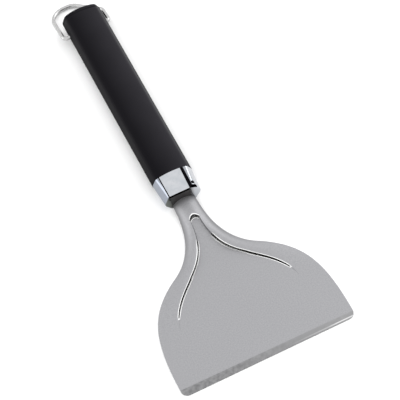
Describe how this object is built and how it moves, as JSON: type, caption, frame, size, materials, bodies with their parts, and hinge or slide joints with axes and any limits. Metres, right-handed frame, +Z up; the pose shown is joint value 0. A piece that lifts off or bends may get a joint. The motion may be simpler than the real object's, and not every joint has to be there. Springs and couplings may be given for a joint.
{
  "type": "griddle scraper",
  "caption": "Long-handled griddle scraper: a wide pressed steel blade with an arched neck, a chromed collar, a black faceted grip and a swinging wire hanging loop.",
  "frame": {"origin": "middle of the scraping edge, at the level of the table that the scraper lies on", "axes": "+Y along the handle towards its hanging end, +Z up from the table, +X to the right seen from the scraping edge"},
  "size_m": [0.1336, 0.3511, 0.0188],
  "materials": {
    "blade_steel": "satin, fine random grain",
    "collar_chrome": "polished",
    "grip_black": "satin, soft to the touch",
    "loop_wire": "bright drawn wire"
  },
  "bodies": {
    "handle": {"blade": "blade_steel", "collar": "collar_chrome", "grip": "grip_black"},
    "loop": {"hanging_loop": "loop_wire"}
  },
  "joints": [
    {"name": "loop_swing", "type": "hinge", "parent": "handle", "child": "loop", "pos_m": [0, 0.3156, 0.0094], "axis": [1, 0, 0], "range_deg": [-139, 165]}
  ]
}
